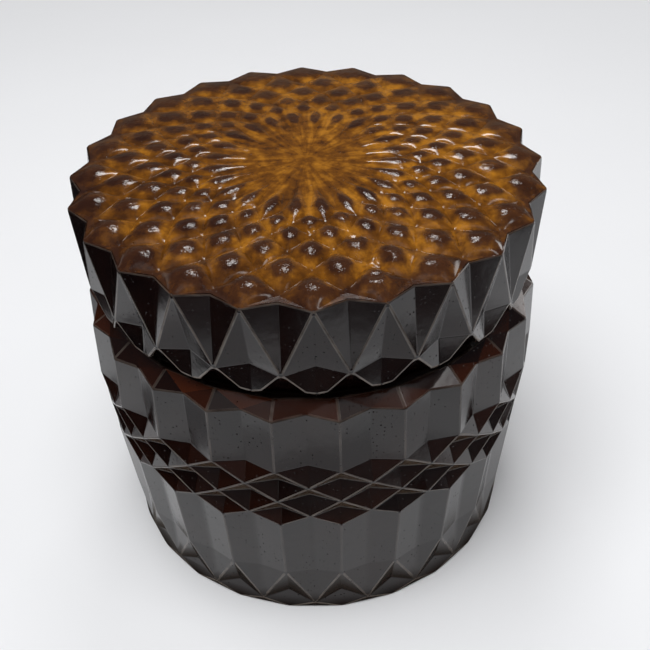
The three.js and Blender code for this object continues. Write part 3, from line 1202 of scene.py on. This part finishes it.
@dataclass
class Studio:
    """Floor, cards, lamps and camera. Bearings are degrees clockwise from where the camera looks."""

    lens: float = 53.93
    sensor_width: float = 36.0
    clip_start: float = 10.0
    eye: tuple[float, float, float] = (-14.3, -167.9, 178.7)
    heading: float = 5.76
    pitch: float = 38.86
    roll: float = -1.87
    floor_size: float = 6000.0
    floor_drop: float = 0.05
    target: tuple[float, float, float] = (0.0, 0.0, 45.0)
    lamps: tuple[SoftLamp, ...] = (
        SoftLamp("lamp_behind", 2, 62, 0.4, 0.1, 0.06, 13.0),
        SoftLamp("lamp_right", 102, 60, 0.8, 0.12, 0.12, 4.0),
        SoftLamp("lamp_high_left", -140, 68, 0.8, 0.28, 0.28, 0.3),
        SoftLamp("lamp_high_right", 128, 68, 0.8, 0.16, 0.16, 0.5),
        SoftLamp("lamp_window", 60, 8, 0.9, 0.5, 0.3, 2.2),
        SoftLamp("lamp_overhead", -150, 76, 1.0, 0.7, 0.7, 7.2, mirrored=False),
    )
    cards: tuple[Card, ...] = (
        Card("card_0", -50, 50, (260, 0), (260, 170), "5c5750"),
        Card("card_1", -38, -105, (150, 0), (150, 110), "1a1a1c"),
        Card("card_2", -105, -150, (125, 0), (125, 110), "1a1a1c"),
        Card("card_3", -150, -202, (125, 0), (125, 28), "1a1a1c"),
        Card("card_4", -150, -225, (200, 0), (200, 150), "6a6a6c"),
        Card("card_5", -202, -255, (125, 0), (125, 20), "1a1a1c"),
        Card("card_6", -225, -265, (250, 0), (250, 150), "5a5a5c"),
        # The next three lie flat and show only in the jar's gloss: painted shade on the floor it mirrors.
        Card("painted_floor_shade_0", -50, -115, (73, 0.01), (95, 0.01), "7c7c7e"),
        Card("painted_floor_shade_1", -115, -275, (73, 0.02), (95, 0.02), "b5b5b7"),
        Card("painted_floor_shade_2", -48, -82, (96, 0.03), (150, 0.03), "868688"),
    )
    card_steps: int = 12
    foot_disc: tuple[float, float, float] = (3.0, -0.5, 48.0)
    foot_disc_drop: float = 0.02
    foot_disc_steps: int = 48
    horizon: str = "e2ded8"
    ceiling: str = "454448"
    horizon_ends: float = 0.1
    ceiling_starts: float = 0.4

    def direction(self, bearing: float, elevation: float) -> Vector:
        """The direction of a bearing and an elevation, in the part's frame."""
        turn, up = math.radians(self.heading + bearing), math.radians(elevation)
        return Vector((math.sin(turn) * math.cos(up), math.cos(turn) * math.cos(up), math.sin(up)))

    def camera(self) -> None:
        """Sets the camera at the photograph's viewing angle."""
        ahead = self.direction(0, -self.pitch)
        level = self.direction(90, 0)
        roll = math.radians(self.roll)
        right = math.cos(roll) * level + math.sin(roll) * level.cross(ahead)
        up = right.cross(ahead)
        turn = Matrix((right, up, -ahead)).transposed().to_4x4()
        data = bpy.data.cameras.new("camera")
        data.lens = self.lens
        data.sensor_width = self.sensor_width
        data.clip_start = self.clip_start * MM
        camera = bpy.data.objects.new("camera", data)
        camera.matrix_world = Matrix.Translation(Vector(self.eye) * MM) @ turn
        bpy.context.scene.collection.objects.link(camera)
        bpy.context.scene.camera = camera

    def stage(self, name: str, points: list[Vector], faces: list[tuple[int, ...]],
              material: bpy.types.Material, drop: float = 0.0, in_gloss_only: bool = True) -> None:
        """Adds a flat thing to the stage, which isn't part of the jar.

        Args:
            name: Its name.
            points: Its corners, in millimetres.
            faces: Its faces.
            material: Its finish.
            drop: How far it lies below its points, in millimetres.
            in_gloss_only: Whether only the jar's gloss shows it.
        """
        mesh = bpy.data.meshes.new(name)
        mesh.from_pydata([point * MM for point in points], [], faces)
        mesh.materials.append(material)
        obj = bpy.data.objects.new(name, mesh)
        obj.location.z = -drop * MM
        bpy.context.scene.collection.objects.link(obj)
        if in_gloss_only:
            obj.visible_camera = False
            obj.visible_diffuse = False
            obj.visible_shadow = False

    def floor(self) -> None:
        """Lays the floor that the jar stands on."""
        half = self.floor_size / 2
        points = [Vector((x * half, y * half, 0)) for x, y in ((-1, -1), (1, -1), (1, 1), (-1, 1))]
        self.stage("floor", points, [(0, 1, 2, 3)], MattBoard().material(), self.floor_drop, False)

    def card(self, card: Card) -> None:
        """Stands or lays one card beside the jar, seen only in its gloss.

        Args:
            card: Its place and colour.
        """
        points = []
        for i in range(self.card_steps + 1):
            out = self.direction(card.start + (card.end - card.start) * i / self.card_steps, 0)
            points += [out * radius + Vector((0, 0, height)) for radius, height in (card.near, card.far)]
        faces = [(2 * i, 2 * i + 2, 2 * i + 3, 2 * i + 1) for i in range(self.card_steps)]
        self.stage(card.name, points, faces, DarkCard(f"paper_{card.name}", card.tint).material())

    def dark_foot_disc(self) -> None:
        """Lays a grey disc under the jar, which the foot shows as the shade that it stands in."""
        x, y, radius = self.foot_disc
        angles = [2 * math.pi * i / self.foot_disc_steps for i in range(self.foot_disc_steps)]
        points = [Vector((x + radius * math.cos(a), y + radius * math.sin(a), 0)) for a in angles]
        self.stage("foot_disc", points, [tuple(range(self.foot_disc_steps))],
                   FadingCard("fading_card").material(), self.foot_disc_drop)

    def lamp(self, lamp: SoftLamp) -> None:
        """Sets up one soft box.

        Args:
            lamp: Its place, size and brightness.
        """
        data = bpy.data.lights.new(lamp.name, "AREA")
        data.shape = "RECTANGLE"
        data.size = lamp.width
        data.size_y = lamp.height
        data.energy = lamp.radiance * math.pi * lamp.width * lamp.height
        obj = bpy.data.objects.new(lamp.name, data)
        out = self.direction(lamp.bearing, lamp.elevation)
        obj.location = Vector(self.target) * MM + out * lamp.distance
        obj.rotation_euler = out.to_track_quat("Z", "Y").to_euler()
        obj.visible_camera = False
        obj.visible_glossy = lamp.mirrored
        bpy.context.scene.collection.objects.link(obj)

    def surroundings(self) -> None:
        """Makes the room's soft light: pale near the horizon, dimmer overhead."""
        world = bpy.data.worlds.new("room")
        bpy.context.scene.world = world
        world.use_nodes = True
        world.node_tree.nodes.clear()
        add = partial(add_node, world.node_tree)
        height = add("SeparateXYZ", {0: add("TexCoord").outputs["Generated"]}).outputs["Z"]
        climb = add("MapRange", {"Value": height, "From Min": self.horizon_ends,
                                 "From Max": self.ceiling_starts}, interpolation_type="SMOOTHSTEP")
        colour = add("Mix", {"Factor": climb, "A": srgb(self.horizon), "B": srgb(self.ceiling)},
                     data_type="RGBA")
        add("OutputWorld", {"Surface": add("Background", {"Color": colour, "Strength": 1.0})})

    def build(self) -> None:
        """Sets up the whole studio."""
        self.camera()
        self.floor()
        for card in self.cards:
            self.card(card)
        self.dark_foot_disc()
        for lamp in self.lamps:
            self.lamp(lamp)
        self.surroundings()
        bpy.context.scene.view_settings.view_transform = "Standard"
        LOG.info("studio: %d lamps, %d cards", len(self.lamps), len(self.cards))


def main() -> None:
    """Builds the jar, the lid and the studio."""
    logging.basicConfig(level=logging.INFO, format="%(message)s")
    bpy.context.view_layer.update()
    repeater = column_repeater()
    JarCasting("jar_casting", "jar", "jar_body", "jar_resin", CastEpoxy()).build(repeater)
    LidCasting("lid_casting", "lid", "lid", "lid_resin", AmberTopEpoxy()).build(repeater)
    Studio().build()


if __name__ == "__main__":
    main()
